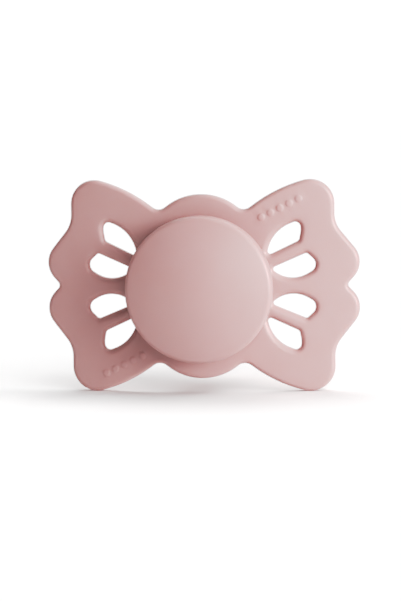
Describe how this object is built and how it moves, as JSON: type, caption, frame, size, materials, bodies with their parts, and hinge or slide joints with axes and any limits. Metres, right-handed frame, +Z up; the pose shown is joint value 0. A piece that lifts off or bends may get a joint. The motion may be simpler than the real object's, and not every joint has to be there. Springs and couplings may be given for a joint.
{
  "type": "pacifier",
  "caption": "Baby pacifier with a butterfly-shaped vented shield, a round domed button in front and a hollow silicone teat behind.",
  "frame": {"origin": "middle of the footprint of the pacifier's box, at the surface it stands on", "axes": "+X to the right seen from the button, +Y from the button towards the teat, +Z up"},
  "size_m": [0.064, 0.04, 0.0433],
  "materials": {
    "shield_plastic": "matte",
    "button_plastic": "matte",
    "silicone": "satin"
  },
  "bodies": {
    "guard": {"shield": "shield_plastic"},
    "button": {"button_cap": "button_plastic", "button_back": "button_plastic", "retaining_plug": "button_plastic", "teat": "silicone"}
  },
  "joints": [
    {"name": "button_turn", "type": "hinge", "parent": "guard", "child": "button", "pos_m": [0, -0.0088, 0.02166], "axis": [0, 1, 0], "continuous": true}
  ]
}
